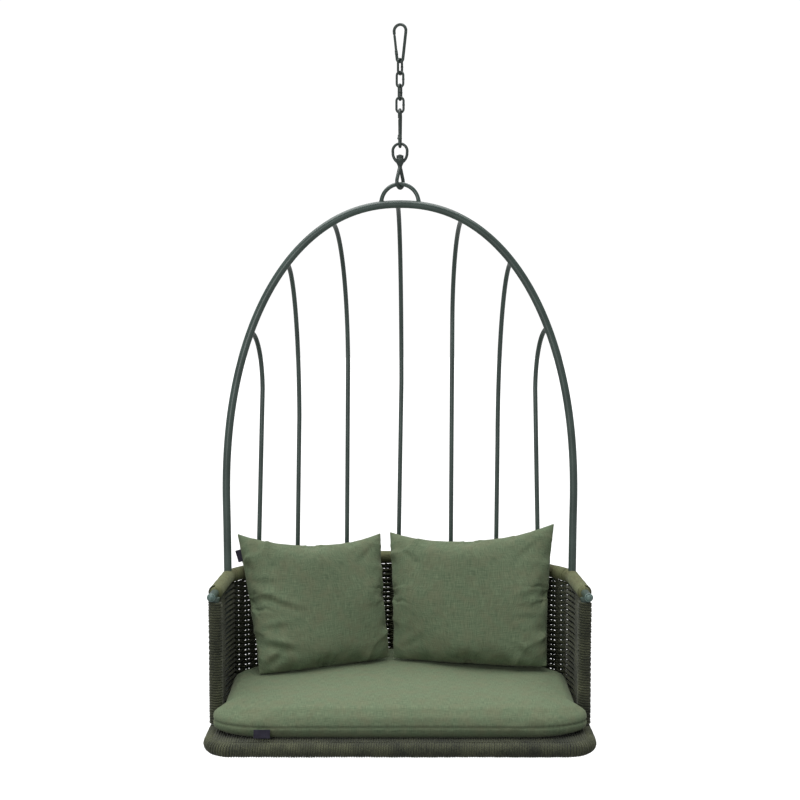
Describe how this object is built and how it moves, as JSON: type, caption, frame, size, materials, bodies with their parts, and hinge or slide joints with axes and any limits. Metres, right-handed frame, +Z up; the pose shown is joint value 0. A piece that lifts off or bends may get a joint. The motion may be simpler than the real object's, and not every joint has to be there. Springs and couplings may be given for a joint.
{
  "type": "hanging love-seat swing",
  "caption": "Hanging love-seat swing: tall tube arch with bent back rods over a rope-woven tub, seat cushion and throw pillows, on a short swivel chain with snap hooks.",
  "frame": {"origin": "the point where the ceiling hook bears, inside the top of the upper snap hook", "axes": "+Z up, +X to the right of someone who faces the seat, +Y towards the back"},
  "size_m": [1.1732, 0.8416, 2.1964],
  "materials": {
    "frame_paint": "satin",
    "chain_paint": "satin",
    "end_cap": "satin",
    "rope": "matte",
    "sleeve_textile": "matte",
    "cushion_fabric": "matte",
    "tag_fabric": "matte"
  },
  "bodies": {
    "upper_hook": {"upper_hook_body": "chain_paint", "upper_hook_rivet": "chain_paint", "chain_link_1": "chain_paint"},
    "upper_gate": {"upper_hook_gate": "chain_paint"},
    "chain": {"chain_link_2": "chain_paint", "chain_link_3": "chain_paint", "chain_link_4": "chain_paint", "lower_hook_body": "chain_paint", "lower_hook_rivet": "chain_paint", "swivel_bow": "chain_paint"},
    "lower_gate": {"lower_hook_gate": "chain_paint"},
    "swivel_eye": {"swivel_eye": "chain_paint", "swivel_nut": "chain_paint"},
    "seat": {"arch_tube": "frame_paint", "hanging_ring": "frame_paint", "rear_rail": "frame_paint", "back_rod_1": "frame_paint", "back_rod_2": "frame_paint", "back_rod_3": "frame_paint", "back_rod_4": "frame_paint", "back_rod_5": "frame_paint", "back_rod_6": "frame_paint", "back_rod_7": "frame_paint", "arm_tube_left": "frame_paint", "rail_cap_left": "end_cap", "front_post_left": "frame_paint", "arm_sleeve_left": "sleeve_textile", "arm_tube_right": "frame_paint", "rail_cap_right": "end_cap", "front_post_right": "frame_paint", "arm_sleeve_right": "sleeve_textile", "rear_sleeve": "sleeve_textile", "base_rail": "frame_paint", "cross_bar_1": "frame_paint", "cross_bar_2": "frame_paint", "cross_bar_3": "frame_paint", "base_wrap_front": "rope", "base_wrap_left": "rope", "base_wrap_right": "rope", "base_wrap_back": "rope", "seat_deck": "rope", "stake_1": "frame_paint", "stake_2": "frame_paint", "stake_3": "frame_paint", "stake_4": "frame_paint", "stake_5": "frame_paint", "stake_6": "frame_paint", "stake_7": "frame_paint", "stake_8": "frame_paint", "stake_9": "frame_paint", "stake_10": "frame_paint", "stake_11": "frame_paint", "stake_12": "frame_paint", "stake_13": "frame_paint", "rear_weave": "rope", "side_weave_left": "rope", "side_weave_right": "rope", "seat_cushion": "cushion_fabric", "pillow_left": "cushion_fabric", "pillow_right": "cushion_fabric"}
  },
  "joints": [
    {"name": "upper_gate_hinge", "type": "hinge", "parent": "upper_hook", "child": "upper_gate", "pos_m": [-0.01095, 0.00442, -0.08583], "axis": [0.3746, 0.9272, 0], "range_deg": [0, 24], "stiffness_Nm_per_rad": 0.3, "springref_deg": -8.59},
    {"name": "chain_sway", "type": "hinge", "parent": "upper_hook", "child": "chain", "pos_m": [0, 0, -0.14925], "axis": [0.5592, 0.829, 0], "range_deg": [-20, 20]},
    {"name": "lower_gate_hinge", "type": "hinge", "parent": "chain", "child": "lower_gate", "pos_m": [-0.00123, -0.01174, -0.35013], "axis": [-0.9945, 0.1045, 0], "range_deg": [0, 24], "stiffness_Nm_per_rad": 0.3, "springref_deg": -8.59},
    {"name": "swivel_spin", "type": "hinge", "parent": "chain", "child": "swivel_eye", "pos_m": [0, 0, -0.4238], "axis": [0, 0, 1], "continuous": true},
    {"name": "seat_swing", "type": "hinge", "parent": "swivel_eye", "child": "seat", "pos_m": [0, 0, -0.4918], "axis": [1, 0, 0], "range_deg": [-28, 28]}
  ]
}
